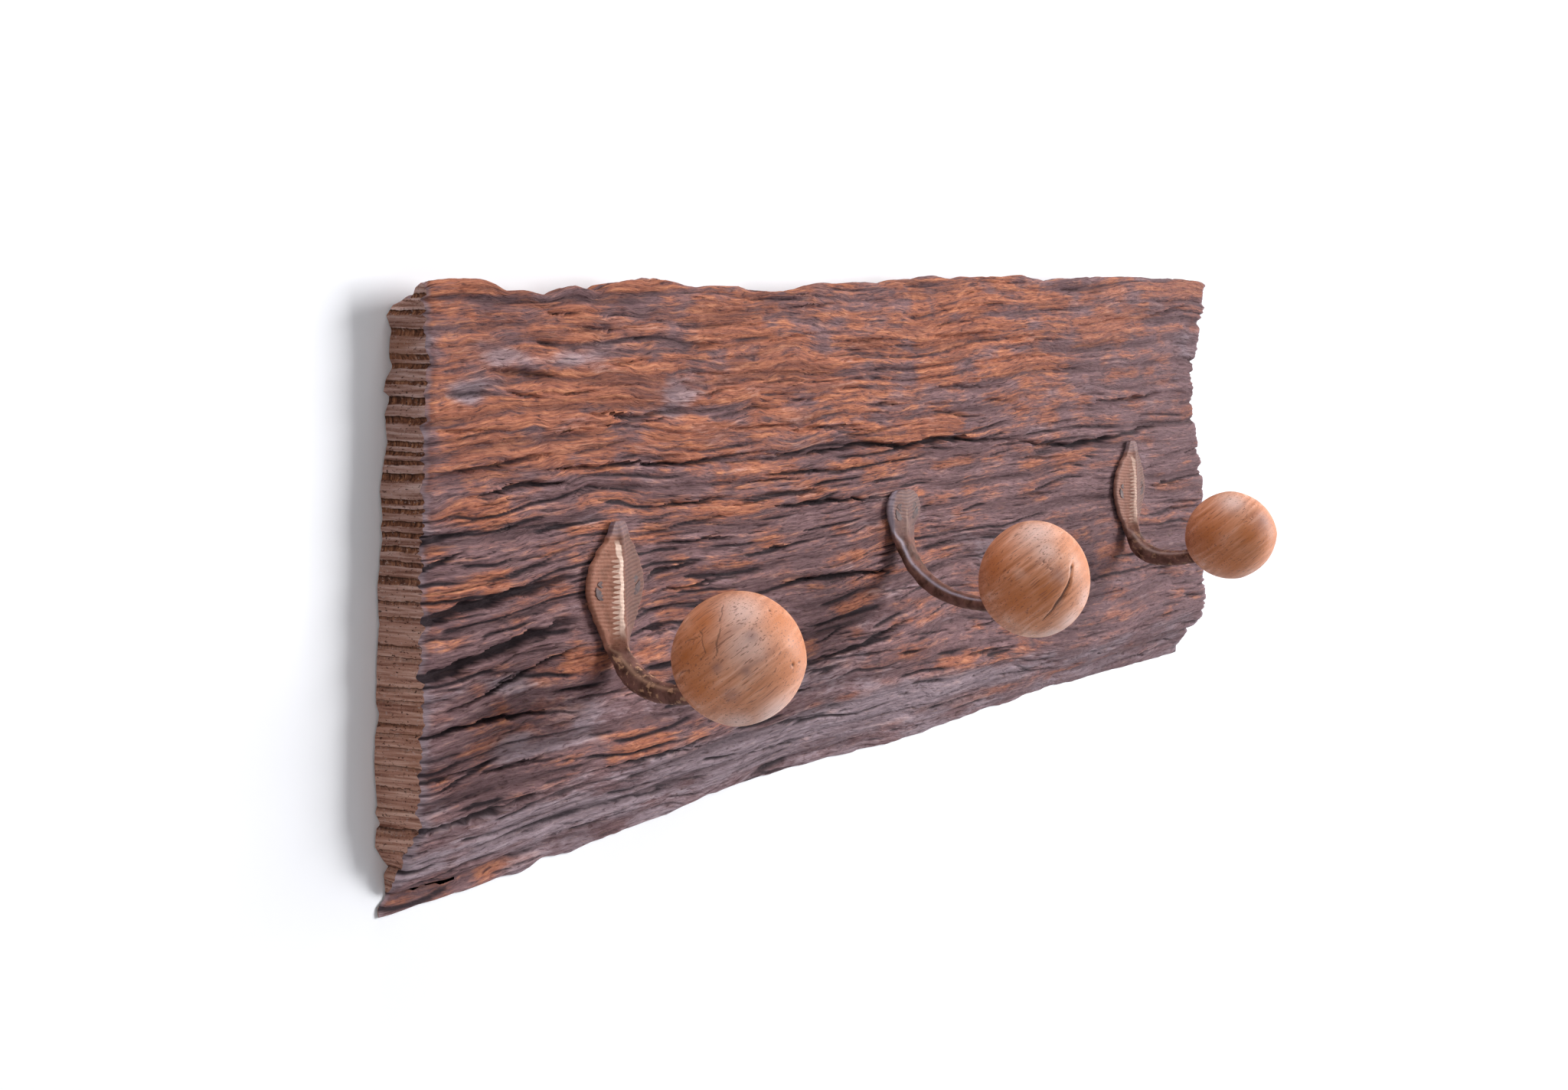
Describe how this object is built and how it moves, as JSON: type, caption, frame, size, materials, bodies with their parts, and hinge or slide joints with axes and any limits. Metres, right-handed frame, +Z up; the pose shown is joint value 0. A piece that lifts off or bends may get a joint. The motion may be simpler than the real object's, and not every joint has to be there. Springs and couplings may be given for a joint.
{
  "type": "coat rack",
  "caption": "Wall coat rack: a split weathered wooden board with cast hooks that end in turned wooden ball knobs.",
  "frame": {"origin": "the middle of the board's flat back, which lies on the wall", "axes": "+X along the board to the right as seen from the front, +Y into the wall, +Z up"},
  "size_m": [0.5385, 0.0897, 0.1763],
  "materials": {
    "weathered_wood": "unfinished hardwood, weathered and deeply cracked, rusty brown turning purple-grey",
    "turned_wood": "turned warm brown hardwood, waxed to a soft sheen, with fine grain lines and small checks",
    "patina_bronze": "cast and hammered copper alloy with a dark brown patina, worn bright along its ridges",
    "screw_steel": "darkened steel",
    "plated_steel": "zinc plated steel"
  },
  "bodies": {
    "root": {"board": "weathered_wood", "hook_left": "patina_bronze", "hook_middle": "patina_bronze", "hook_right": "patina_bronze", "knob_left": "turned_wood", "knob_middle": "turned_wood", "knob_right": "turned_wood", "knob_stud_left": "plated_steel", "knob_stud_middle": "plated_steel", "knob_stud_right": "plated_steel", "hook_screw_left_1": "screw_steel", "hook_screw_left_2": "screw_steel", "hook_screw_middle_1": "screw_steel", "hook_screw_middle_2": "screw_steel", "hook_screw_right_1": "screw_steel", "hook_screw_right_2": "screw_steel", "hanger_plate_left": "plated_steel", "hanger_plate_right": "plated_steel", "hanger_screw_left_1": "plated_steel", "hanger_screw_left_2": "plated_steel", "hanger_screw_right_1": "plated_steel", "hanger_screw_right_2": "plated_steel"}
  },
  "joints": []
}
